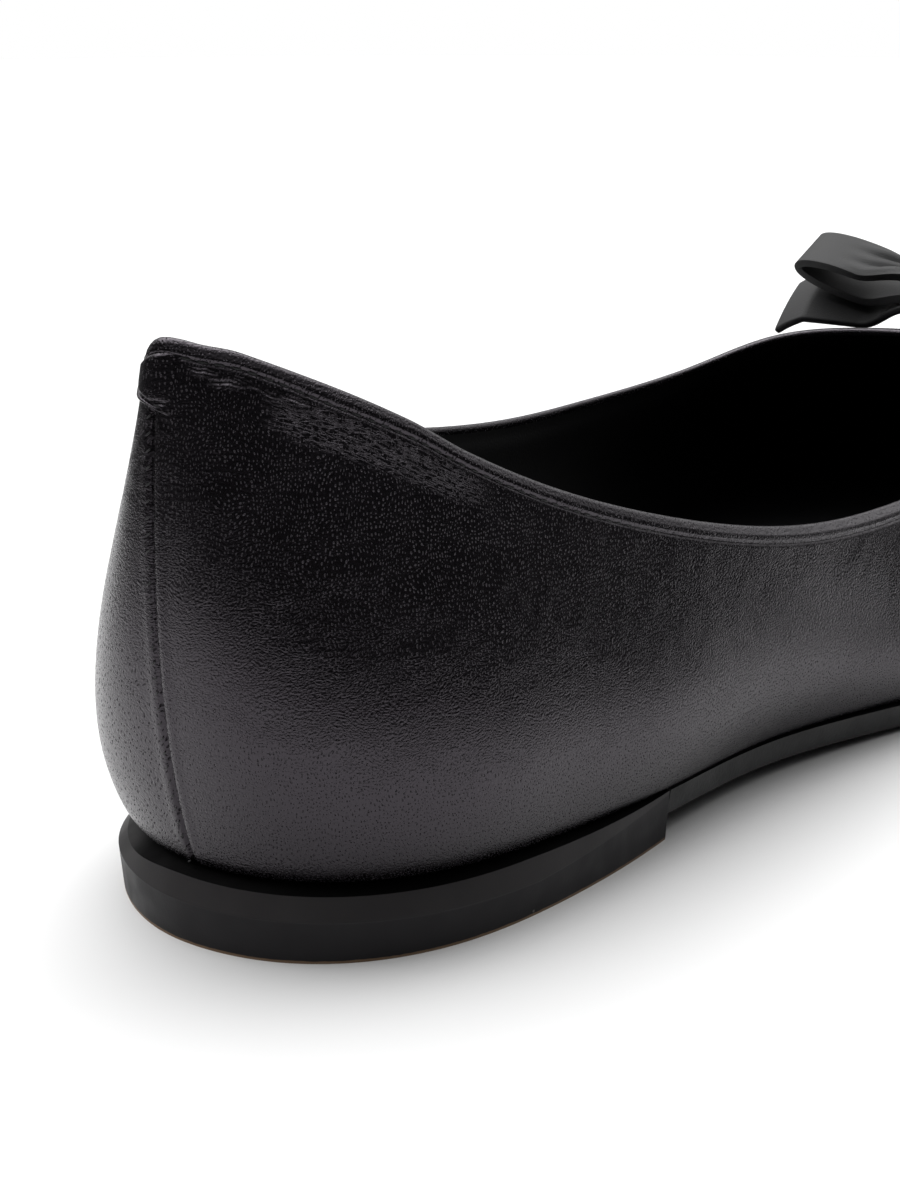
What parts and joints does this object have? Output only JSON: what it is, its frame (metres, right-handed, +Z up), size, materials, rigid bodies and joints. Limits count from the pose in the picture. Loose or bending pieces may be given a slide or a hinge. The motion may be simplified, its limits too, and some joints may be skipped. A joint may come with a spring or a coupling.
{
  "type": "ballet flat",
  "caption": "Black leather ballet flat for the right foot: hollow upper with a low topline, thin outsole, low heel block, padded insole and a ribbon bow at the throat.",
  "frame": {"origin": "on the floor under the middle of the shoe's length and width", "axes": "+Y from heel to toe, +Z up, +X towards the outer side of the right foot"},
  "size_m": [0.085, 0.25, 0.0645],
  "materials": {
    "upper_leather": "smooth fine-grained black leather with a soft sheen",
    "sole": "black sole, satin",
    "heel": "black heel block, satin with a bevelled top edge",
    "sock": "black leather sock lining, matt",
    "bow": "soft black ribbon leather, matt"
  },
  "bodies": {
    "root": {"upper": "upper_leather", "dog_tail": "upper_leather", "outsole": "sole", "heel": "heel", "insole": "sock", "bow_loop_inner": "bow", "bow_loop_outer": "bow", "bow_tail_inner": "bow", "bow_tail_outer": "bow", "bow_knot": "bow"}
  },
  "joints": []
}
